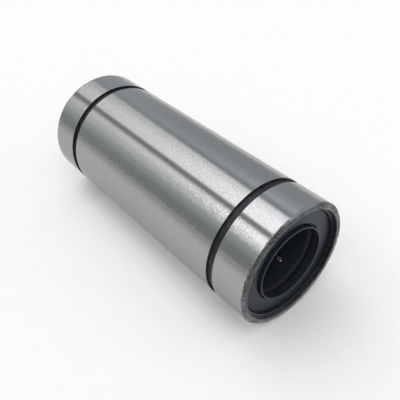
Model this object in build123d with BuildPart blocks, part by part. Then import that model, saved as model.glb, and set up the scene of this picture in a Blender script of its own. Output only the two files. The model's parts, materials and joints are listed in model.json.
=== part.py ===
"""Long linear ball bearing for a 16 mm shaft: a steel sleeve with two ball retainers.

The shaft axis is X. The origin is the middle of the sleeve, +X is the front end and +Z is up.
The rear half holds the same pieces as the front half, turned half a turn about Z.
All sizes are in millimetres and all angles in degrees.
"""

from build123d import *
from math import atan2, cos, degrees, pi, radians, sin, sqrt
import os

# Outer sleeve
shaft_d = 16.0
outer_d = 28.0
length = 70.0
end_chamfer = 0.5
rim_wall = 1.4
mouth_chamfer = 0.15
mid_rib_width = 1.8
mid_rib_rise = 0.9

# Grooves for the retaining rings of a housing
ring_groove_span = 53.0
ring_groove_width = 1.6
ring_groove_depth = 0.5
groove_edge_break = 0.1

# Balls and their circuits
ball_d = 2.381
circuits = 5
load_row_angle = 90.0
turn_tilt = 14.0
balls_in_turn = 3
return_rise = 0.6

# Clearances round the balls
ball_gap = 0.164
ball_shaft_gap = 0.0145
race_gap = 0.05
row_pocket_gap = 0.06
turn_pocket_gap = 0.11
relief_gap = 0.14

# Raceway lands inside the sleeve
land_width = 3.0
land_setback = 0.4
land_slot_gap = 0.1

# Ball retainers
retainer_shaft_gap = 0.25
retainer_side_gap = 0.05
retainer_end_wall = 1.3
retainer_end_play = 0.1
retainer_mouth_round = 0.5

# Inner end rings
end_ring_depth = 0.88
end_ring_thickness = 0.5
end_ring_proud = 0.5
end_ring_seat = 0.45
end_ring_play = 0.02
end_ring_opening = 3.0
end_ring_opening_angle = 129.0

# Seals: a steel core with rubber moulded round its web
seal_thickness = 2.0
seal_side_gap = 0.03
core_rim_wall = 0.55
core_web = 0.5
core_web_depth = 0.5
rubber_layer = 0.4
rubber_gap = 0.02
rubber_edge = 0.15
rubber_neck = 0.5
lip_shaft_gap = 0.03
lip_wall = 0.35
lip_rise = 0.7
lip_edge = 0.12
lip_land = 0.5
lip_flare = 0.3
lip_groove_width = 0.25
lip_groove_depth = 0.55

# Radii that follow
half_length = length / 2
shaft_r = shaft_d / 2
outer_r = outer_d / 2
ball_r = ball_d / 2
load_row_r = shaft_r + ball_shaft_gap + ball_r
return_row_r = load_row_r + return_rise
land_r = load_row_r + ball_r + race_gap
land_slot_r = land_r - land_slot_gap
counterbore_r = outer_r - rim_wall
ring_groove_r = outer_r - ring_groove_depth
retainer_bore_r = shaft_r + retainer_shaft_gap
row_pocket_r = ball_r + row_pocket_gap
turn_pocket_r = ball_r + turn_pocket_gap

# The balls' spacing sets the radius of the turns
ball_pitch = ball_d + ball_gap
turn_step = 180 / balls_in_turn
turn_radius = balls_in_turn * ball_pitch / pi

# One circuit, seen along the shaft: a chord joins the centres of the load row and the return row.
# The chord's middle lies this far from the shaft axis, along the chord and square to it.
chord_mid_along = (return_row_r**2 - load_row_r**2) / (4 * turn_radius)
chord_mid_out = sqrt((return_row_r**2 + load_row_r**2) / 2 - turn_radius**2 - chord_mid_along**2)
chord_angle = load_row_angle - degrees(atan2(turn_radius - chord_mid_along, chord_mid_out))
load_row_along = chord_mid_along - turn_radius
return_row_along = chord_mid_along + turn_radius
tilt_cos = cos(radians(turn_tilt))
tilt_sin = sin(radians(turn_tilt))


def turn_reach_out(angle):
    """How far from the shaft axis a ball's centre is, at this angle round its turn."""
    along = chord_mid_along - turn_radius * cos(radians(angle))
    out = chord_mid_out + turn_radius * sin(radians(angle)) * tilt_sin
    return sqrt(along**2 + out**2)


# The sleeve's bore clears the balls where their turns stand out furthest
relief_r = max(turn_reach_out(angle) for angle in range(181)) + ball_r + relief_gap
retainer_r = relief_r - retainer_side_gap
mid_rib_r = relief_r - mid_rib_rise
# the rib and the lands start inside the wall
root_r = (relief_r + ring_groove_r) / 2

# Places along the shaft, and as many balls in a row as the retainer has room for
turn_length = turn_radius * tilt_cos + turn_pocket_r + retainer_end_wall
seal_front_x = half_length - end_ring_depth - end_ring_thickness - end_ring_play
seal_back_x = seal_front_x - seal_thickness
retainer_inner_x = mid_rib_width / 2 + retainer_end_play
retainer_length = seal_back_x - retainer_end_play - retainer_inner_x
balls_in_row = int((retainer_length - 2 * turn_length) / ball_pitch)
row_length = balls_in_row * ball_pitch
land_length = row_length - 2 * land_setback
circuit_mid_x = retainer_inner_x + retainer_length / 2

# Sections of the seal
core_r = counterbore_r - seal_side_gap
rubber_r = core_r - core_rim_wall - rubber_gap
lip_r = shaft_r + lip_shaft_gap
lip_outer_r = lip_r + lip_wall
lip_groove_r = lip_outer_r + lip_groove_width
slot_r = lip_groove_r + rubber_neck
web_inner_r = slot_r + rubber_gap
web_front_x = seal_front_x - core_web_depth
web_back_x = web_front_x - core_web
face_x = web_front_x + rubber_layer
crest_x = face_x + lip_rise


def circuit_plane(circuit, x):
    """Section plane of one circuit: local x along its chord, local y outwards, local z along X."""
    along = Vector(0, 1, 0).rotate(Axis.X, chord_angle - 90 + circuit * 360 / circuits)
    return Plane(origin=(x, 0, 0), x_dir=along, z_dir=(1, 0, 0))


def turn_plane(circuit, end):
    """Plane that the balls of a turn roll in, at the front (end 1) or rear (end -1) of a circuit.

    Local x points to the load row, local y away from both rows.
    """
    section = circuit_plane(circuit, circuit_mid_x + end * row_length / 2)
    middle = section.from_local_coords(Vector(chord_mid_along, chord_mid_out, 0))
    away = section.z_dir * (end * tilt_cos) + section.y_dir * tilt_sin
    return Plane(origin=middle, x_dir=-section.x_dir, z_dir=away.cross(section.x_dir))


def save(piece, name):
    """Name a finished piece and write its STEP file."""
    piece.part.label = name
    export_step(piece.part, f"parts/{name}.step")


def save_both_ends(piece, name):
    """Write a front piece, and the same piece turned round for the rear half."""
    with BuildPart() as turned:
        add(piece.part, rotation=(0, 0, 180))
    save(piece, f"front_{name}")
    save(turned, f"rear_{name}")


def ball_channel(pocket_r):
    """Sketch a ball channel's section: round at the bottom and open outwards."""
    Circle(pocket_r)
    Rectangle(2 * pocket_r, retainer_r - retainer_bore_r, align=(Align.CENTER, Align.MIN))


def make_outer_sleeve():
    """Steel sleeve: raceway lands, seal seats and ring grooves, made as a front half and mirrored."""
    with BuildPart() as sleeve:
        with BuildSketch(Plane.YZ):
            Circle(outer_r)
            Circle(relief_r, mode=Mode.SUBTRACT)
        extrude(amount=half_length)

        # rib between the two retainers
        with BuildSketch(Plane.YZ):
            Circle(root_r)
            Circle(mid_rib_r, mode=Mode.SUBTRACT)
        extrude(amount=mid_rib_width / 2)

        # lands that the loaded balls roll on
        with BuildSketch(Plane.YZ.offset(circuit_mid_x - land_length / 2)):
            with PolarLocations(0, circuits, start_angle=load_row_angle):
                Rectangle(root_r, land_width, align=(Align.MIN, Align.CENTER))
            Circle(land_r, mode=Mode.SUBTRACT)
        extrude(amount=land_length)

        # seat of the seal
        with BuildSketch(Plane.YZ.offset(seal_back_x)):
            Circle(counterbore_r)
        extrude(amount=half_length - seal_back_x, mode=Mode.SUBTRACT)

        end_face = sleeve.faces().sort_by(Axis.X)[-1]
        chamfer(end_face.outer_wire().edges(), end_chamfer)
        end_face = sleeve.faces().sort_by(Axis.X)[-1]
        chamfer(end_face.inner_wires().edges(), mouth_chamfer)

        # groove of the inner end ring
        with BuildSketch(Plane.YZ.offset(half_length - end_ring_depth + end_ring_play)):
            Circle(counterbore_r + end_ring_seat + end_ring_play)
        extrude(amount=-end_ring_thickness - 2 * end_ring_play, mode=Mode.SUBTRACT)

        # outer groove, with its edges broken
        with BuildSketch(Plane.YZ.offset(ring_groove_span / 2)):
            Circle(outer_r + ring_groove_depth)
            Circle(ring_groove_r, mode=Mode.SUBTRACT)
        extrude(amount=-ring_groove_width, mode=Mode.SUBTRACT)
        round_edges = sleeve.edges().filter_by(GeomType.CIRCLE).group_by(SortBy.RADIUS)[-1]
        chamfer(round_edges.sort_by(Axis.X)[1:3], groove_edge_break)

        mirror(about=Plane.YZ)
    return sleeve


def make_retainer():
    """Moulded retainer with five ball channels, each two straight rows joined by two tilted turns."""
    # each row runs on a little into the turn's channel, to clear the kink of the tilt
    row_channel = row_length + 2 * turn_pocket_r * tilt_sin
    with BuildPart() as retainer:
        with BuildSketch(Plane.YZ.offset(retainer_inner_x)):
            Circle(retainer_r)
            Circle(retainer_bore_r, mode=Mode.SUBTRACT)
        extrude(amount=retainer_length)

        # rounded mouth that leads the shaft in
        front_face = retainer.faces().sort_by(Axis.X)[-1]
        fillet(front_face.inner_wires().edges(), retainer_mouth_round)

        for circuit in range(circuits):
            with BuildSketch(circuit_plane(circuit, circuit_mid_x - row_channel / 2)):
                with Locations((load_row_along, chord_mid_out), (return_row_along, chord_mid_out)):
                    ball_channel(row_pocket_r)
            extrude(amount=row_channel, mode=Mode.SUBTRACT)
            for end in (1, -1):
                turn = turn_plane(circuit, end)
                section = Plane(
                    origin=turn.origin,
                    x_dir=turn.x_dir,
                    z_dir=turn.x_dir.cross(turn.z_dir * end),
                )
                with BuildSketch(section):
                    with Locations((turn_radius, 0)):
                        ball_channel(turn_pocket_r)
                revolve(axis=Axis(turn.origin, turn.z_dir), revolution_arc=180, mode=Mode.SUBTRACT)

        # slots for the sleeve's lands, open at the inner end so that the retainer slides in
        with BuildSketch(Plane.YZ.offset(retainer_inner_x)):
            with PolarLocations(0, circuits, start_angle=load_row_angle):
                Rectangle(2 * retainer_r, land_width + 2 * land_slot_gap, align=(Align.MIN, Align.CENTER))
            Circle(land_slot_r, mode=Mode.SUBTRACT)
        land_end = circuit_mid_x + land_length / 2 + land_slot_gap
        extrude(amount=land_end - retainer_inner_x, mode=Mode.SUBTRACT)
    return retainer


def make_row_balls(circuit, along):
    """Balls of one straight row, half a pitch clear of both turns."""
    section = circuit_plane(circuit, circuit_mid_x - row_length / 2)
    with BuildPart() as row:
        for number in range(balls_in_row):
            place = Vector(along, chord_mid_out, (number + 0.5) * ball_pitch)
            with Locations(section.from_local_coords(place)):
                Sphere(ball_r)
    return row


def make_turn_balls(circuit, end):
    """Balls on their way round one turn."""
    turn = turn_plane(circuit, end)
    with BuildPart() as balls:
        for number in range(balls_in_turn):
            angle = radians((number + 0.5) * turn_step)
            place = Vector(turn_radius * cos(angle), turn_radius * sin(angle), 0)
            with Locations(turn.from_local_coords(place)):
                Sphere(ball_r)
    return balls


def make_end_ring():
    """Sprung ring with an opening, which holds the seal in the sleeve."""
    ring_r = counterbore_r + end_ring_seat
    with BuildPart() as ring:
        with BuildSketch(Plane.YZ.offset(half_length - end_ring_depth)):
            Circle(ring_r)
            Circle(counterbore_r - end_ring_proud, mode=Mode.SUBTRACT)
            with PolarLocations(0, 1, start_angle=end_ring_opening_angle):
                Rectangle(2 * ring_r, end_ring_opening, align=(Align.MIN, Align.CENTER), mode=Mode.SUBTRACT)
        extrude(amount=-end_ring_thickness)
    return ring


def make_seal_core():
    """Pressed steel ring that stiffens the seal: a rim with a web standing inwards."""
    with BuildPart() as core:
        with BuildSketch(Plane.XZ):
            with Locations((seal_back_x, core_r)):
                Rectangle(seal_thickness, core_rim_wall, align=(Align.MIN, Align.MAX))
            with Locations((web_back_x, core_r)):
                Rectangle(core_web, core_r - web_inner_r, align=(Align.MIN, Align.MAX))
        revolve(axis=Axis.X)
    return core


def make_seal_rubber():
    """Rubber moulded round the web of the core, with a lip that wipes the shaft."""
    back_x = web_back_x - rubber_layer
    wiping_x = crest_x - lip_edge
    with BuildPart() as rubber:
        with BuildSketch(Plane.XZ):
            with BuildLine():
                Polyline(
                    (back_x, lip_r + lip_flare),
                    (wiping_x - lip_land, lip_r),
                    (wiping_x, lip_r),
                    (crest_x, lip_r + lip_edge),
                    (crest_x, lip_outer_r - lip_edge),
                    (wiping_x, lip_outer_r),
                    (face_x - lip_groove_depth, lip_outer_r),
                    (face_x - lip_groove_depth, lip_groove_r),
                    (face_x - lip_edge, lip_groove_r),
                    (face_x, lip_groove_r + lip_edge),
                    (face_x, rubber_r - rubber_edge),
                    (face_x - rubber_edge, rubber_r),
                    (web_front_x, rubber_r),
                    (web_front_x, slot_r),
                    (web_back_x, slot_r),
                    (web_back_x, rubber_r),
                    (back_x, rubber_r),
                    close=True,
                )
            make_face()
        revolve(axis=Axis.X)
    return rubber


os.makedirs("parts", exist_ok=True)
save(make_outer_sleeve(), "outer_sleeve")
save_both_ends(make_retainer(), "retainer")
save_both_ends(make_end_ring(), "end_ring")
save_both_ends(make_seal_core(), "seal_core")
save_both_ends(make_seal_rubber(), "seal_rubber")
for circuit in range(circuits):
    label = f"circuit_{circuit + 1}"
    save_both_ends(make_row_balls(circuit, load_row_along), f"{label}_load_balls")
    save_both_ends(make_row_balls(circuit, return_row_along), f"{label}_return_balls")
    save_both_ends(make_turn_balls(circuit, 1), f"{label}_outer_turn_balls")
    save_both_ends(make_turn_balls(circuit, -1), f"{label}_inner_turn_balls")
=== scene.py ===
"""Looks for the long linear bearing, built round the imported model.

The shaft axis is X, the front end is +X and +Z is up. Lengths are millimetres and angles are
degrees, also where a material measures in the object's own coordinates. Blender itself works
in metres.
"""

import json
import math
import random

import bpy
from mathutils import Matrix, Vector

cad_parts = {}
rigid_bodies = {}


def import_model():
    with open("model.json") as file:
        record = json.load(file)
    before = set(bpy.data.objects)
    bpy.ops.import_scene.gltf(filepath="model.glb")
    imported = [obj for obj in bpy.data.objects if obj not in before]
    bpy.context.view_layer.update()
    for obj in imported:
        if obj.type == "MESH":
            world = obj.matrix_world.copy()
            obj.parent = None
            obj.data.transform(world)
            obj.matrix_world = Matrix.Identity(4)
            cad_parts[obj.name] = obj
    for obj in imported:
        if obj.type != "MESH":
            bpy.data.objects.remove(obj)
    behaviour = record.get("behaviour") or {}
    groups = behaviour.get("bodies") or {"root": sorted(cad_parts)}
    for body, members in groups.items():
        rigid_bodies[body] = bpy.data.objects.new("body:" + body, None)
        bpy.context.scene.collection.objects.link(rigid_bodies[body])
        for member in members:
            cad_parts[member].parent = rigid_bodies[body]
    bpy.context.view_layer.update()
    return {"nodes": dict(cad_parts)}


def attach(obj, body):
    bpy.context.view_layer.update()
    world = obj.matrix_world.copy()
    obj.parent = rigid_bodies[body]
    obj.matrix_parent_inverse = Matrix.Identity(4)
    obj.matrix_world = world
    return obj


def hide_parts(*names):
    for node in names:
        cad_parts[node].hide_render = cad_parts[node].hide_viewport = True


for start_up in list(bpy.data.objects):
    bpy.data.objects.remove(start_up)

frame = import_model()

MM = 0.001
BODY = "bearing"

# The sleeve and the retainer's end, as in the part's source
OUTER_R = 14.0
HALF_LENGTH = 35.0
END_CHAMFER = 0.5
SEAT_R = 12.6
SEAT_BACK_X = 31.6
MOUTH_CHAMFER = 0.15
RING_SLOT_X = (33.6, 34.14)
RING_SLOT_R = 13.07
GROOVE_X = (24.9, 26.5)
GROOVE_R = 13.5
GROOVE_EDGE = 0.1
RELIEF_R = 11.302
LAND_R = 10.4455
LAND_HALF_WIDTH = 1.5
LAND_X = (6.47, 26.03)
LAND_COUNT = 5
LAND_START = 90.0
RIB_R = 10.402
RIB_HALF_WIDTH = 0.9
RETAINER_END_X = 31.5

# The sleeve's materials, in the order of its mesh's slots
GROUND, FACE, GROOVE, BORE = range(4)

# The seal's rubber and the end ring at the front end: (x, r, rounding)
SEAL_CORNERS = [
    (32.2, 12.0, 0.08),
    (32.6, 12.0, 0.05),
    (32.6, 9.13, 0),
    (33.1, 9.13, 0),
    (33.1, 12.0, 0.05),
    (33.35, 12.0, 0.12),
    (33.5, 11.85, 0.12),
    (33.5, 8.75, 0.08),
    (33.38, 8.63, 0.08),
    (32.95, 8.63, 0.1),
    (32.95, 8.38, 0.1),
    (34.12, 8.38, 0.05),
    (34.2, 8.33, 0.04),
    (34.2, 8.08, 0.03),
    (34.12, 8.03, 0.04),
    (33.58, 8.03, 0),
    (32.2, 8.33, 0.06),
]
RING_CORNERS = [
    (33.62, 12.1, 0.05),
    (33.62, 13.05, 0.05),
    (34.12, 13.05, 0.05),
    (34.12, 12.1, 0.07),
]
RING_OPENING = 3.0
RING_OPENING_ANGLES = {"front": 129.0, "rear": 51.0}

# How finely the turned shapes are divided round the axis, and a land's half width in such steps
SLEEVE_STEPS = 480
LAND_HALF_STEPS = 11
SEAL_STEPS = 360
RING_STEPS = 300

# A rounded corner: its steps, its largest share of a side, and how many roundings away from the
# corner its support points stand. The chamfer has one more support point, in front of it.
BEND_STEPS = 3
BEND_SHARE = 0.3
BEND_SUPPORT = 1.5
CHAMFER_SUPPORT = 0.3

# Faces that meet at more than this have a sharp edge between them
SHARP_ANGLE = 32.0

# Wear of the sleeve's end edges: how far it reaches past the chamfer along x and along the radius,
# its depth, and how far it moves x for its depth. Ripples go so many times round, and the rear
# end's are shifted, in radians. Chips have an angle from +Y towards +Z, a half width in degrees
# and a depth, and a few more of them stand near the top.
WEAR_SEED = 7
WEAR_REACH = (0.1, 0.15)
WEAR_DEPTH = 0.012
WEAR_SLOPE = 0.5
RIPPLE_COUNT = 14
RIPPLE_DEPTH = 0.02
RIPPLE_TIMES = (5, 60)
REAR_RIPPLE_SHIFT = 0.7
CHIP_COUNT = 26
CHIP_WIDTHS = (0.75, 2.0)
CHIP_DEPTHS = (0.03, 0.1)
TOP_CHIPS = [(95.0, 0.8, 0.06), (98.0, 0.8, 0.1), (104.0, 0.8, 0.08)]

# Sides of a surface: a direction, and where on the way in that direction a change starts and ends
# Painted shade: the end face darker on its upper -Y side and lighter at the bottom
PAINTED_UPPER_SHADE_SIDE = ((0.0, 0.42, -0.91), -12.0, 11.0)
# Painted shade over a highlight of the chamfer on the +Y side
PAINTED_PLUS_Y_SHADE_SIDE = ((0.0, 1.0, -0.1), 8.5, 12.5)
# Painted light: the seats and end rings lighter towards the lower -Y side
PAINTED_LOWER_LIGHT_SIDE = ((0.0, -0.5, -0.87), 8.5, 11.3)
# Painted highlight: the top of the chamfer lighter
TOP_SIDE = ((0.0, 0.0, 1.0), 12.7, 13.4)
# Painted shade: the floor darker far off on both sides
FLOOR_NEAR_SIDE = ((0.0, 1.0, 0.0), -160.0, -57.0)
FLOOR_FAR_SIDE = ((0.0, 1.0, 0.0), 200.0, 500.0)

# Zones of a surface: where a change starts and ends, in distance from the shaft axis (R) or along
# it from the middle (X)
OUTER_EDGE_R = (OUTER_R - 0.12, OUTER_R - 0.03)
CHAMFER_FOOT_R = (GROOVE_R + 0.02, GROOVE_R + 0.12)
INNER_EDGE_R = (SEAT_R + 0.22, SEAT_R + 0.34)
# Painted light near the seal's lip
PAINTED_LIP_LIGHT_R = (8.7, 9.6)
MOUTH_X = (RING_SLOT_X[0], RING_SLOT_X[0] + 0.6)
MOUTH_EDGE_X = (HALF_LENGTH - 0.3, HALF_LENGTH - MOUTH_CHAMFER)
# Painted light on the retainer's end face
RETAINER_FACE_X = (RETAINER_END_X - 0.07, RETAINER_END_X)
# The balls are darker deeper inside than this
BALLS_DARKER_INSIDE_X = (26.6, 27.2)

# Numbers of the Mix node's colour sockets, which share their names with others
MIX_FIRST, MIX_SECOND, MIX_RESULT = 6, 7, 2


# Node helpers

def feed(tree, socket, value):
    """Links a socket to another node's socket, or sets its number, vector or colour."""
    if isinstance(value, bpy.types.NodeSocket):
        tree.links.new(value, socket)
    elif socket.type == "RGBA":
        socket.default_value = (*value, 1.0)
    else:
        socket.default_value = value


def add(tree, kind, inputs=None, **settings):
    """New node. inputs maps a socket's name or number to a value or to another node's socket."""
    node = tree.nodes.new(kind)
    for key, value in settings.items():
        setattr(node, key, value)
    for key, value in (inputs or {}).items():
        feed(tree, node.inputs[key], value)
    return node


def new_material(name):
    """Material with a Principled shader. Returns the material, its tree and the shader."""
    material = bpy.data.materials.new(name)
    material.use_nodes = True
    tree = material.node_tree
    return material, tree, tree.nodes["Principled BSDF"]


def plug(tree, shader, **values):
    """Sets or links the shader's sockets; an underscore stands for a space."""
    for key, value in values.items():
        feed(tree, shader.inputs[key.replace("_", " ")], value)


def math_node(tree, operation, *values):
    """Result of a Math node."""
    return add(tree, "ShaderNodeMath", dict(enumerate(values)), operation=operation).outputs[0]


def plus(tree, first, *others):
    """Sum of numbers."""
    for other in others:
        first = math_node(tree, "ADD", first, other)
    return first


def times(tree, first, *others):
    """Product of numbers."""
    for other in others:
        first = math_node(tree, "MULTIPLY", first, other)
    return first


def vector_math(tree, operation, inputs, output="Vector"):
    """Result of a Vector Math node."""
    return add(tree, "ShaderNodeVectorMath", inputs, operation=operation).outputs[output]


def place(tree, along, across):
    """The object's own coordinates, times a scale along the shaft axis and one across it."""
    coords = add(tree, "ShaderNodeTexCoord")
    scale = (along / MM, across / MM, across / MM)
    mapping = add(tree, "ShaderNodeMapping", {"Vector": coords.outputs["Object"], "Scale": scale})
    return mapping.outputs["Vector"]


def from_axis(tree):
    """Distance from the shaft axis."""
    return vector_math(tree, "LENGTH", {0: place(tree, 0, 1)}, "Value")


def towards(tree, direction):
    """How far a point lies from the bearing's middle in a direction."""
    return vector_math(tree, "DOT_PRODUCT", {0: place(tree, 1, 1), 1: direction}, "Value")


def from_middle(tree):
    """Distance from the bearing's middle along the shaft axis."""
    return math_node(tree, "ABSOLUTE", towards(tree, (1.0, 0.0, 0.0)))


def noise(tree, along, across, detail=2.0, roughness=0.5):
    """Noise with so many cells a millimetre along the shaft axis and across it."""
    texture = add(tree, "ShaderNodeTexNoise", {
        "Vector": place(tree, along, across), "Scale": 1.0,
        "Detail": detail, "Roughness": roughness})
    return texture.outputs["Fac"]


def spread(tree, value, low, high, start=0.3, end=0.7):
    """Maps start..end to low..high and stays level beyond. A noise mostly lies in 0.3..0.7."""
    mapped = add(tree, "ShaderNodeMapRange", {
        "Value": value, "From Min": start, "From Max": end, "To Min": low, "To Max": high})
    return mapped.outputs["Result"]


def on_side(tree, side, low=0, high=1):
    """Goes from low to high over the change of a side."""
    direction, start, end = side
    return spread(tree, towards(tree, direction), low, high, start, end)


def blend_colors(tree, factor, first, second):
    """Colour between two, by a factor."""
    inputs = {"Factor": factor, MIX_FIRST: first, MIX_SECOND: second}
    return add(tree, "ShaderNodeMix", inputs, data_type="RGBA").outputs[MIX_RESULT]


def mottled(tree, grain, dark, light):
    """Colour that goes from dark to light with a noise."""
    return blend_colors(tree, spread(tree, grain, 0, 1), dark, light)


def bump(tree, height, strength, distance):
    """Bump normal from a height; distance is in millimetres."""
    inputs = {"Height": height, "Strength": strength, "Distance": distance * MM}
    return add(tree, "ShaderNodeBump", inputs).outputs["Normal"]


def around_axis(tree):
    """Tangent that runs round the shaft axis."""
    return add(tree, "ShaderNodeTangent", direction_type="RADIAL", axis="X").outputs["Tangent"]


def sparkle(tree, grain, amount):
    """Normal that leans to and fro along the shaft axis with a grain.

    Reflections that run along the axis stay sharp.
    """
    normal = add(tree, "ShaderNodeNewGeometry").outputs["Normal"]
    along = vector_math(tree, "CROSS_PRODUCT", {0: around_axis(tree), 1: normal})
    tilt = spread(tree, grain, -amount, amount, 0.2, 0.8)
    lean = vector_math(tree, "SCALE", {0: along, "Scale": tilt})
    leaning = vector_math(tree, "ADD", {0: normal, 1: lean})
    return vector_math(tree, "NORMALIZE", {0: leaning})


# Materials

def ground_steel():
    """Centreless-ground outside: fine lines round the axis and a faint mottle."""
    material, tree, shader = new_material("ground_steel")
    lines = noise(tree, 9, 0.3)
    mottle = noise(tree, 3, 2.7, detail=1.0)
    specks = noise(tree, 3.3, 3.3, detail=1.0)
    tone = mottled(tree, specks, (0.343, 0.345, 0.346), (0.385, 0.387, 0.388))
    plug(tree, shader, Base_Color=tone, Metallic=1.0, Roughness=spread(tree, lines, 0.11, 0.155),
         Specular_Tint=(0.76, 0.76, 0.76), Anisotropic=0.7, Anisotropic_Rotation=0.25,
         Tangent=around_axis(tree), Normal=sparkle(tree, mottle, 0.08))
    return material


def turned_face():
    """Rough end face: torn turning marks, stains, worn edges, painted shade and a painted
    highlight.
    """
    material, tree, shader = new_material("turned_face")
    specks = noise(tree, 2.6, 2.6, detail=4.0, roughness=0.65)
    torn = spread(tree, specks, 0, 1, 0.38, 0.62)
    grey = blend_colors(tree, torn, (0.117, 0.123, 0.126), (0.32, 0.334, 0.345))
    olive = blend_colors(tree, torn, (0.05, 0.051, 0.046), (0.148, 0.151, 0.14))
    stains = spread(tree, noise(tree, 0.45, 0.45), -0.3, 0.3, 0.35, 0.65)
    # Painted shade, darker on the upper -Y side, mixed below with the real stains
    painted_upper_shade = on_side(tree, PAINTED_UPPER_SHADE_SIDE, 0.95, 0.1)
    # Painted shade on the +Y side, over the chamfer's highlight
    painted_plus_y_shade = on_side(tree, PAINTED_PLUS_Y_SHADE_SIDE, 0, 0.45)
    tone = blend_colors(tree, plus(tree, stains, painted_upper_shade, painted_plus_y_shade), grey, olive)

    radius = from_axis(tree)
    outer_edge = spread(tree, radius, 0, 1, *OUTER_EDGE_R)
    inner_edge = spread(tree, radius, 1, 0, *INNER_EDGE_R)
    patches = spread(tree, noise(tree, 0.64, 0.64, detail=3.0), 0.05, 0.75, 0.42, 0.62)
    worn = times(tree, plus(tree, outer_edge, inner_edge), patches)
    tone = blend_colors(tree, worn, tone, (0.42, 0.43, 0.42))

    chamfer = spread(tree, radius, 0, 1, *CHAMFER_FOOT_R)
    # Painted highlight on the top of the chamfer
    painted_top_highlight = times(tree, on_side(tree, TOP_SIDE, 0, 0.8), chamfer)
    tone = blend_colors(tree, painted_top_highlight, tone, (0.34, 0.36, 0.36))
    plug(tree, shader, Base_Color=tone, Metallic=1.0, Roughness=spread(tree, specks, 0.55, 0.38),
         Anisotropic=0.4, Anisotropic_Rotation=0.25, Tangent=around_axis(tree),
         Normal=bump(tree, specks, 0.5, 0.05))
    return material


def groove_black():
    """Unground groove: black scale with a few bright specks."""
    material, tree, shader = new_material("groove_black")
    scale = noise(tree, 1.8, 0.9, detail=3.0, roughness=0.6)
    black = mottled(tree, scale, (0.017, 0.017, 0.0195), (0.042, 0.042, 0.048))
    specks = spread(tree, noise(tree, 3.2, 3.2), 0, 0.8, 0.68, 0.76)
    tone = blend_colors(tree, specks, black, (0.3, 0.3, 0.3))
    plug(tree, shader, Base_Color=tone, Metallic=0.7, Roughness=spread(tree, scale, 0.36, 0.5),
         Normal=bump(tree, scale, 0.3, 0.04))
    return material


def bore_steel():
    """Hardened bore, brown-black with oil; painted light makes its mouths' seats lighter below."""
    material, tree, shader = new_material("bore_steel")
    grain = noise(tree, 1.5, 0.4, detail=3.0, roughness=0.6)
    inside = mottled(tree, grain, (0.07, 0.07, 0.075), (0.16, 0.155, 0.15))
    # The seats' lighter tone, a painted lit copy of the bore steel
    seat = mottled(tree, grain, (0.23, 0.24, 0.255), (0.33, 0.34, 0.355))
    depth = from_middle(tree)
    in_mouth = spread(tree, depth, 0, 1, *MOUTH_X)
    behind_edge = spread(tree, depth, 1, 0, *MOUTH_EDGE_X)
    # Painted light: the seats lighter towards the lower -Y side
    painted_lower_light = times(tree, in_mouth, behind_edge, on_side(tree, PAINTED_LOWER_LIGHT_SIDE))
    tone = blend_colors(tree, painted_lower_light, inside, seat)
    plug(tree, shader, Base_Color=tone, Metallic=1.0, Roughness=spread(tree, grain, 0.28, 0.42),
         Normal=bump(tree, grain, 0.2, 0.03))
    return material


def moulded_rubber():
    """Moulded seal: blue-black rubber with a satin skin, a fine bloom and painted light at the lip.
    """
    material, tree, shader = new_material("moulded_rubber")
    bloom = noise(tree, 0.42, 0.42, detail=3.0, roughness=0.55)
    grain = noise(tree, 2.6, 2.6, detail=3.0, roughness=0.6)
    tone = mottled(tree, bloom, (0.0085, 0.0095, 0.017), (0.0155, 0.017, 0.027))
    # Painted light: the rubber lighter near the lip and its wall
    painted_lip_light = spread(tree, from_axis(tree), 1, 0, *PAINTED_LIP_LIGHT_R)
    tone = blend_colors(tree, painted_lip_light, tone, (0.0215, 0.024, 0.0345))
    plug(tree, shader, Base_Color=tone, Roughness=spread(tree, grain, 0.32, 0.44),
         Specular_IOR_Level=0.37, Specular_Tint=(0.66, 0.83, 0.98),
         Normal=bump(tree, grain, 0.3, 0.03))
    return material


def blackened_spring():
    """Oil-blackened end ring, lighter towards the lower -Y side by painted light."""
    material, tree, shader = new_material("blackened_spring")
    grain = noise(tree, 1.4, 1.4, detail=3.0, roughness=0.6)
    oiled = mottled(tree, grain, (0.034, 0.038, 0.045), (0.09, 0.1, 0.117))
    # Painted light: a lighter copy of the ring's tone, used on the lower -Y side
    painted_lower_light = mottled(tree, grain, (0.075, 0.081, 0.09), (0.16, 0.17, 0.187))
    tone = blend_colors(tree, on_side(tree, PAINTED_LOWER_LIGHT_SIDE), oiled, painted_lower_light)
    plug(tree, shader, Base_Color=tone, Metallic=1.0, Roughness=spread(tree, grain, 0.3, 0.45),
         Normal=bump(tree, grain, 0.2, 0.03))
    return material


def pressed_steel():
    """Oiled sheet steel of the seal's core."""
    material, tree, shader = new_material("pressed_steel")
    grain = noise(tree, 1.2, 1.2, detail=3.0, roughness=0.6)
    tone = mottled(tree, grain, (0.12, 0.12, 0.125), (0.22, 0.22, 0.225))
    plug(tree, shader, Base_Color=tone, Metallic=1.0, Roughness=spread(tree, grain, 0.32, 0.45),
         Normal=bump(tree, grain, 0.2, 0.03))
    return material


def retainer_resin():
    """Moulded black resin with a light oil film, and painted light on its end faces."""
    material, tree, shader = new_material("retainer_resin")
    grain = noise(tree, 0.9, 0.9, detail=3.0, roughness=0.6)
    tone = mottled(tree, grain, (0.019, 0.023, 0.031), (0.028, 0.032, 0.041))
    # Painted light: the end face lighter, in the shade of the gap behind the seal
    painted_face_light = spread(tree, from_middle(tree), 0, 1, *RETAINER_FACE_X)
    tone = blend_colors(tree, painted_face_light, tone, (0.075, 0.072, 0.09))
    plug(tree, shader, Base_Color=tone, Roughness=spread(tree, grain, 0.3, 0.42),
         Specular_IOR_Level=0.13, Specular_Tint=(0.85, 0.93, 1.0),
         Normal=bump(tree, grain, 0.06, 0.03))
    return material


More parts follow.
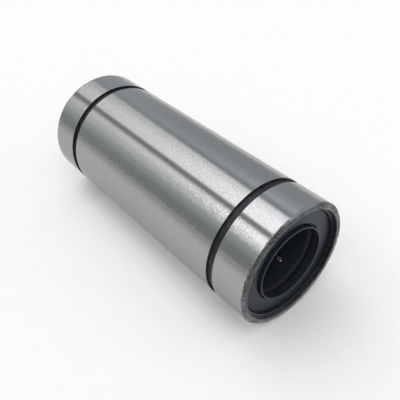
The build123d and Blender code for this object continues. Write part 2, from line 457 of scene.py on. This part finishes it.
def ball_steel():
    """Balls under a thin warm film of grease, much darker deeper inside than in the outer turns."""
    material, tree, shader = new_material("ball_steel")
    film = noise(tree, 0.7, 0.7)
    tone = mottled(tree, film, (0.6, 0.56, 0.47), (0.85, 0.81, 0.72))
    # Darker deeper inside the bearing than in the outer turns
    darker_inside = spread(tree, from_middle(tree), 0.85, 0, *BALLS_DARKER_INSIDE_X)
    tone = blend_colors(tree, darker_inside, tone, (0.13, 0.12, 0.1))
    plug(tree, shader, Base_Color=tone, Metallic=0.8, Roughness=spread(tree, film, 0.17, 0.25))
    return material


# Mesh helpers

def soften(corners):
    """Closed profile with rounded corners, from (x, r, rounding, tag of the side that follows).

    A support point on each side of a rounding keeps the long faces flat.
    """
    points = []
    for number, (x, r, rounding, tag) in enumerate(corners):
        if rounding == 0:
            points.append((x, r, tag))
            continue
        here = Vector((x, r))
        tag_before = corners[number - 1][3]
        before = Vector(corners[number - 1][:2]) - here
        after = Vector(corners[(number + 1) % len(corners)][:2]) - here
        reach = min(rounding, before.length * BEND_SHARE, after.length * BEND_SHARE)
        arrive, leave = before.normalized() * reach, after.normalized() * reach
        points.append((*(here + arrive * BEND_SUPPORT), tag_before))
        for step in range(BEND_STEPS + 1):
            t = step / BEND_STEPS
            point = here + arrive * (1 - t) ** 2 + leave * t ** 2
            points.append((point.x, point.y, tag if t > 0.5 else tag_before))
        points.append((*(here + leave * BEND_SUPPORT), tag))
    return points


def at_end(end, profile):
    """The front end's profile as it stands at an end, kept running the same way round."""
    if end == "front":
        return profile
    flipped = [(-x, r, tag) for x, r, tag in reversed(profile)]
    return [(x, r, flipped[(i + 1) % len(flipped)][2]) for i, (x, r, _) in enumerate(flipped)]


def mesh_object(name, vertices, faces, tags, materials):
    """Object from vertices in millimetres, smooth with sharp edges where faces meet steeply."""
    mesh = bpy.data.meshes.new(name)
    mesh.from_pydata([Vector(v) * MM for v in vertices], [], faces)
    for material in materials:
        mesh.materials.append(material)
    mesh.polygons.foreach_set("material_index", tags)
    mesh.polygons.foreach_set("use_smooth", [True] * len(faces))
    mesh.set_sharp_from_angle(angle=math.radians(SHARP_ANGLE))
    mesh.validate()
    mesh.update()
    piece = bpy.data.objects.new(name, mesh)
    bpy.context.scene.collection.objects.link(piece)
    return piece


def lathe(name, profile, steps, material, opening=None):
    """Turns a closed profile round the X axis. opening is (middle angle, width) of a gap in it."""
    middle, width = opening or (0.0, 0.0)
    rows = steps + 1 if opening else steps
    vertices, faces = [], []
    for row in range(rows):
        for x, r, _ in profile:
            half = math.asin(width / 2 / r)
            angle = math.radians(middle) + half + (2 * math.pi - 2 * half) * row / steps
            vertices.append((x, r * math.cos(angle), r * math.sin(angle)))
    count = len(profile)
    for row in range(steps):
        near, far = row * count, (row + 1) % rows * count
        for i in range(count):
            j = (i + 1) % count
            faces.append((near + i, far + i, far + j, near + j))
    if opening:
        faces.append(tuple(range(count)))
        faces.append(tuple(steps * count + i for i in reversed(range(count))))
    return mesh_object(name, vertices, faces, [0] * len(faces), [material])


# Pieces

def sleeve_corners():
    """Corners of the sleeve's front half: (x, r, rounding, material of the side that follows)."""
    slot_back, slot_front = RING_SLOT_X
    return [
        (0, OUTER_R, 0, GROUND),
        (GROOVE_X[0] - GROOVE_EDGE, OUTER_R, 0.03, GROOVE),
        (GROOVE_X[0], OUTER_R - GROOVE_EDGE, 0.03, GROOVE),
        (GROOVE_X[0], GROOVE_R, 0.12, GROOVE),
        (GROOVE_X[1], GROOVE_R, 0.12, GROOVE),
        (GROOVE_X[1], OUTER_R - GROOVE_EDGE, 0.03, GROOVE),
        (GROOVE_X[1] + GROOVE_EDGE, OUTER_R, 0.03, GROUND),
        (HALF_LENGTH - END_CHAMFER - CHAMFER_SUPPORT, OUTER_R, 0, GROUND),
        (HALF_LENGTH - END_CHAMFER, OUTER_R, 0.08, FACE),
        (HALF_LENGTH, OUTER_R - END_CHAMFER, 0.14, FACE),
        (HALF_LENGTH, SEAT_R + MOUTH_CHAMFER, 0.04, BORE),
        (HALF_LENGTH - MOUTH_CHAMFER, SEAT_R, 0.04, BORE),
        (slot_front, SEAT_R, 0.03, BORE),
        (slot_front, RING_SLOT_R, 0.03, BORE),
        (slot_back, RING_SLOT_R, 0.03, BORE),
        (slot_back, SEAT_R, 0.03, BORE),
        (SEAT_BACK_X, SEAT_R, 0.08, BORE),
        (SEAT_BACK_X, RELIEF_R, 0.05, BORE),
        (0, RELIEF_R, 0, BORE),
    ]


def sleeve_profile():
    """The sleeve's closed profile, and the pairs of its points that the lands run between."""
    front = [point for point in soften(sleeve_corners()) if point[0] > 0]
    inner = [(LAND_X[1], RELIEF_R, BORE), (LAND_X[0], RELIEF_R, BORE),
             (RIB_HALF_WIDTH, RELIEF_R, BORE), (RIB_HALF_WIDTH, RIB_R, BORE)]
    profile = front + inner + at_end("rear", front + inner)
    profile[-1] = (*profile[-1][:2], GROUND)
    front_land = (len(front), len(front) + 1)
    rear_land = tuple(len(profile) - 1 - i for i in reversed(front_land))
    return profile, (front_land, rear_land)


def land_rows():
    """The rows that carry a land, and the rows of the lands' sides: {row: (middle row, side)}."""
    carrying, sides = set(), {}
    for number in range(LAND_COUNT):
        angle = LAND_START + 360 / LAND_COUNT * number
        middle = round(angle / 360 * SLEEVE_STEPS) % SLEEVE_STEPS
        for side in (-1, 1):
            sides[(middle + side * LAND_HALF_STEPS) % SLEEVE_STEPS] = (middle, side)
        for offset in range(-LAND_HALF_STEPS, LAND_HALF_STEPS):
            carrying.add((middle + offset) % SLEEVE_STEPS)
    return carrying, sides


def edge_wear():
    """Returns a function that wears the sleeve's end edges a little, never outwards."""
    draw = random.Random(WEAR_SEED)
    ripples = [(draw.randint(*RIPPLE_TIMES), draw.random() * 2 * math.pi, draw.random())
               for _ in range(RIPPLE_COUNT)]
    chips = [(draw.random() * 360, draw.uniform(*CHIP_WIDTHS), draw.uniform(*CHIP_DEPTHS))
             for _ in range(CHIP_COUNT)] + TOP_CHIPS
    inner_x = HALF_LENGTH - END_CHAMFER - WEAR_REACH[0]
    inner_r = OUTER_R - END_CHAMFER - WEAR_REACH[1]

    def wear(row, x, r):
        if abs(x) < inner_x or r < inner_r:
            return x, r
        angle = 2 * math.pi * row / SLEEVE_STEPS + (REAR_RIPPLE_SHIFT if x < 0 else 0)
        ripple = sum(size * math.sin(n * angle + phase) for n, phase, size in ripples)
        depth = WEAR_DEPTH + RIPPLE_DEPTH * (ripple / len(ripples))
        for middle, width, size in chips:
            apart = abs(360 * row / SLEEVE_STEPS - middle)
            away = min(apart, 360 - apart) / width
            depth += size * math.exp(-away * away)
        depth = max(depth, 0.0)
        return x - math.copysign(depth * WEAR_SLOPE, x), r - depth

    return wear


def build_sleeve():
    """The sleeve with its grooves, seal seats, middle rib and five pairs of raceway lands."""
    profile, land_pairs = sleeve_profile()
    carrying, sides = land_rows()
    wear = edge_wear()
    step = 2 * math.pi / SLEEVE_STEPS
    vertices, faces, tags = [], [], []

    def put(row, x, r):
        """Adds a vertex, at a land's side wall where the row is one, and returns its number."""
        angle = row * step
        if row in sides and abs(x) < SEAT_BACK_X and r <= RELIEF_R:
            middle, side = sides[row]
            angle = middle * step + side * math.asin(LAND_HALF_WIDTH / r)
        x, r = wear(row, x, r)
        vertices.append((x, r * math.cos(angle), r * math.sin(angle)))
        return len(vertices) - 1

    rings = [[put(row, x, r) for x, r, _ in profile] for row in range(SLEEVE_STEPS)]
    lands = {}
    for row in sorted(carrying | set(sides)):
        for i, j in land_pairs:
            lands[row, i] = (put(row, profile[i][0], LAND_R), put(row, profile[j][0], LAND_R))

    for row in range(SLEEVE_STEPS):
        following = (row + 1) % SLEEVE_STEPS
        near, far = rings[row], rings[following]
        for i, (_, _, tag) in enumerate(profile):
            j = (i + 1) % len(profile)
            if row in carrying and (i, j) in land_pairs:
                (a, b), (c, d) = lands[row, i], lands[following, i]
                faces += [(near[i], far[i], c, a), (a, c, d, b), (b, d, far[j], near[j])]
                tags += [tag] * 3
            else:
                faces.append((near[i], far[i], far[j], near[j]))
                tags.append(tag)
    for row, (_, side) in sides.items():
        for i, j in land_pairs:
            wall = (rings[row][i], *lands[row, i], rings[row][j])
            faces.append(wall if side < 0 else wall[::-1])
            tags.append(BORE)

    materials = [ground_steel(), turned_face(), groove_black(), bore_steel()]
    piece = mesh_object("sleeve_body", vertices, faces, tags, materials)
    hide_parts("outer_sleeve")
    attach(piece, BODY)


def build_ends():
    """Rubber seals and end rings, with rounded edges in place of the sharp solids."""
    rubber, spring = moulded_rubber(), blackened_spring()
    seal_profile = soften([(*corner, 0) for corner in SEAL_CORNERS])
    ring_profile = soften([(*corner, 0) for corner in RING_CORNERS])
    for end, angle in RING_OPENING_ANGLES.items():
        seal = lathe(f"{end}_seal_form", at_end(end, seal_profile), SEAL_STEPS, rubber)
        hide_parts(f"{end}_seal_rubber")
        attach(seal, BODY)
        ring = lathe(f"{end}_ring_form", at_end(end, ring_profile), RING_STEPS, spring,
                     opening=(angle, RING_OPENING))
        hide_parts(f"{end}_end_ring")
        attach(ring, BODY)


def dress_frame():
    """Materials of the nodes that stay as the frame has them."""
    resin, core, balls = retainer_resin(), pressed_steel(), ball_steel()
    for name, node in frame["nodes"].items():
        material = balls if "balls" in name else resin if "retainer" in name else core
        node.data.materials.clear()
        node.data.materials.append(material)


# Studio

FLOOR_HALF = 4000.0

# The camera's clip distances are in metres
CAMERA_PLACE = (75.07, -57.56, 71.46)
CAMERA_LOOK = (-0.59477, 0.49902, -0.63025)
CAMERA_SENSOR = 36.0
CAMERA_LENS = 45.405
CAMERA_CLIP = (0.005, 20.0)

# The light comes from the world, by direction. A table of the light holds (degrees round the shaft
# axis from straight up towards +Y, brightness). A table named FADE or SPAN holds (share of the
# direction along the shaft, level). The slants shear the directions along the shaft.
ROOM_SLANT = 0.08
EDGE_SLANT = 0.25

ROOM = [
    (-180, 0.45), (-90, 0.45), (-79, 0.42), (-72, 0.47), (-66, 0.63), (-61, 0.69), (-56, 0.74),
    (-50, 0.74), (-44, 0.62), (-34, 0.46), (-30, 0.42), (-26, 0.4), (-22, 0.5), (10, 0.5),
    (38, 0.54), (51, 0.59), (65, 0.57), (82, 0.59), (90, 0.58), (180, 0.5),
]
# The room's brightness straight along the shaft, and the span in which it changes to that
ROOM_END = 0.5
ROOM_END_SPAN = (0.84, 0.97)
ROOM_TINT = (0.945, 0.995, 1.02)

# The side lamp and the overhead lamp
LAMPS = [
    (-60, 0.0), (-57, 0.14), (-54.5, 0.36), (-53, 0.49), (-50, 0.42), (-47.5, 0.58), (-45.5, 0.86),
    (-43.5, 1.08), (-41.5, 1.19), (-39.5, 1.4), (-37.5, 1.54), (-36.5, 1.5), (-34.5, 1.3),
    (-32.5, 0.98), (-31, 0.52), (-29.8, 0.12), (-28.5, 0.0), (-23.4, 0.0), (-22.6, 0.2),
    (-21.3, 1.05), (-20, 1.75), (-17, 1.8), (-4, 1.78), (6, 1.5), (11, 1.28), (20, 1.05),
    (30, 0.95), (36, 0.0),
]
LAMP_FADE = [
    (0, 0.6), (0.3, 0.8), (0.42, 1.22), (0.48, 1.1), (0.58, 0.82), (0.68, 0.63), (0.74, 0.52),
    (0.79, 0.43), (0.88, 0.24), (0.97, 0.0),
]
# The lamps' tint where they point across the shaft and along it, and the span between the two
LAMP_TINTS = ((0.985, 0.975, 1.0), (1.04, 1.015, 0.975))
LAMP_TINT_SPAN = (0.45, 0.82)

# The overhead lamp's far edge, which runs at a slant to the shaft, and the glow beyond it
LAMP_END = [(8.0, 1.0), (13.0, 0.0)]
EDGE_GLOW = [
    (14.5, 0.0), (18.5, 0.06), (22, 0.24), (25, 0.31), (28, 0.32), (32, 0.25), (38, 0.13),
    (44, 0.07), (50, 0.0),
]
GLOW_SPAN = [(0.49, 1.0), (0.58, 0.75), (0.68, 0.4), (0.75, 0.15), (0.8, 0.0)]

# A faint light from far along the shaft
FAR_GLOW = [
    (-95, 0.0), (-82, 0.09), (-68, 0.09), (-57, 0.03), (-45, 0.08), (-33, 0.02), (-20, 0.0),
    (-10, 0.09), (4, 0.13), (15, 0.02), (28, 0.09), (40, 0.13), (52, 0.1), (64, 0.13), (77, 0.17),
    (90, 0.2), (150, 0.0),
]
FAR_SPAN = [(0.62, 0.0), (0.679, 0.15), (0.743, 0.45), (0.794, 1.0), (0.86, 1.0), (0.94, 0.0)]

# What the side lamp gains where it points across the shaft
SIDE_BOOST = [
    (-57, 0.0), (-52, 0.32), (-48, 0.8), (-44, 0.68), (-38, 0.36), (-34, 0.38), (-31, 0.32),
    (-28, 0.1), (-26, 0.0),
]
SIDE_SPAN = [(0.49, 1.0), (0.56, 0.0)]

# Where all the light is a little warmer
WARM_SIDE = [(-84, 0.0), (-72, 1.0), (-30, 1.0), (-26, 0.0)]
WARM_TINT = (1.003, 1.003, 0.975)
PLAIN_TINT = (1.0, 1.0, 1.0)


def build_floor():
    """Wide pale floor under the bearing, with painted shade darker far off on both sides."""
    material, tree, shader = new_material("floor_paper")
    fibre = noise(tree, 0.3, 0.3, detail=3.0)
    tone = mottled(tree, fibre, (0.935, 0.916, 0.906), (0.947, 0.929, 0.919))
    # Painted shade for the light falling off away from the bearing
    away = plus(tree, on_side(tree, FLOOR_NEAR_SIDE, 1, 0), on_side(tree, FLOOR_FAR_SIDE))
    tone = blend_colors(tree, away, tone, (0.61, 0.6, 0.59))
    plug(tree, shader, Base_Color=tone, Roughness=0.9, Specular_IOR_Level=0.0)
    corners = [(FLOOR_HALF * x, FLOOR_HALF * y, -OUTER_R)
               for x, y in ((-1, -1), (1, -1), (1, 1), (-1, 1))]
    floor = mesh_object("floor", corners, [(0, 1, 2, 3)], [0], [material])


def level_ramp(tree, value, levels):
    """Piecewise levels, above 1 too, of a value from 0 to 1."""
    peak = max(level for _, level in levels)
    ramp = add(tree, "ShaderNodeValToRGB", {0: value})
    stops = ramp.color_ramp.elements
    while len(stops) > 1:
        stops.remove(stops[-1])
    for number, (position, level) in enumerate(levels):
        stop = stops[0] if number == 0 else stops.new(position)
        stop.position = position
        stop.color = (level / peak,) * 3 + (1.0,)
    return times(tree, ramp.outputs["Color"], peak)


def around_shaft(tree, parts, levels, slant=ROOM_SLANT):
    """Level by the direction round the shaft axis, from the direction's x, y and z."""
    sheared = math_node(tree, "MULTIPLY_ADD", parts.outputs["X"], slant, parts.outputs["Y"])
    angle = math_node(tree, "ARCTAN2", sheared, parts.outputs["Z"])
    share = math_node(tree, "MULTIPLY_ADD", angle, 1 / (2 * math.pi), 0.5)
    return level_ramp(tree, share, [(degrees / 360 + 0.5, level) for degrees, level in levels])


def build_light():
    """The world: two long soft lamps over the bearing, fading towards its ends, in a grey room."""
    world = bpy.data.worlds.new("studio")
    bpy.context.scene.world = world
    world.use_nodes = True
    tree = world.node_tree
    coords = add(tree, "ShaderNodeTexCoord")
    parts = add(tree, "ShaderNodeSeparateXYZ", {0: coords.outputs["Generated"]})
    along = math_node(tree, "ABSOLUTE", parts.outputs["X"])

    glow = around_shaft(tree, parts, EDGE_GLOW, EDGE_SLANT)
    glow = times(tree, glow, level_ramp(tree, along, GLOW_SPAN))
    far = times(tree, around_shaft(tree, parts, FAR_GLOW), level_ramp(tree, along, FAR_SPAN))
    room = plus(tree, glow, far, around_shaft(tree, parts, ROOM))
    room = spread(tree, along, room, ROOM_END, *ROOM_END_SPAN)
    room_light = vector_math(tree, "SCALE", {0: ROOM_TINT, "Scale": room})

    lamps = around_shaft(tree, parts, LAMPS)
    lamp_end = around_shaft(tree, parts, LAMP_END, EDGE_SLANT)
    lamps = times(tree, lamps, lamp_end, level_ramp(tree, along, LAMP_FADE))
    side = times(tree, around_shaft(tree, parts, SIDE_BOOST), level_ramp(tree, along, SIDE_SPAN))
    lamps = plus(tree, lamps, side)
    lamp_tint = blend_colors(tree, spread(tree, along, 0, 1, *LAMP_TINT_SPAN), *LAMP_TINTS)
    lamp_light = vector_math(tree, "SCALE", {0: lamp_tint, "Scale": lamps})

    light = vector_math(tree, "ADD", {0: room_light, 1: lamp_light})
    warmth = blend_colors(tree, around_shaft(tree, parts, WARM_SIDE), PLAIN_TINT, WARM_TINT)
    light = vector_math(tree, "MULTIPLY", {0: light, 1: warmth})
    background = tree.nodes["Background"]
    tree.links.new(light, background.inputs["Color"])
    background.inputs["Strength"].default_value = 1.0


def build_camera():
    """Camera at the photograph's place, from the fit of its circles and edges."""
    camera = bpy.data.objects.new("camera", bpy.data.cameras.new("camera"))
    bpy.context.scene.collection.objects.link(camera)
    camera.data.sensor_width = CAMERA_SENSOR
    camera.data.lens = CAMERA_LENS
    camera.data.clip_start, camera.data.clip_end = CAMERA_CLIP
    camera.location = Vector(CAMERA_PLACE) * MM
    camera.rotation_mode = "QUATERNION"
    camera.rotation_quaternion = Vector(CAMERA_LOOK).to_track_quat("-Z", "Y")
    bpy.context.scene.camera = camera


build_sleeve()
build_ends()
dress_frame()
build_floor()
build_light()
build_camera()
bpy.context.scene.view_settings.view_transform = "Standard"
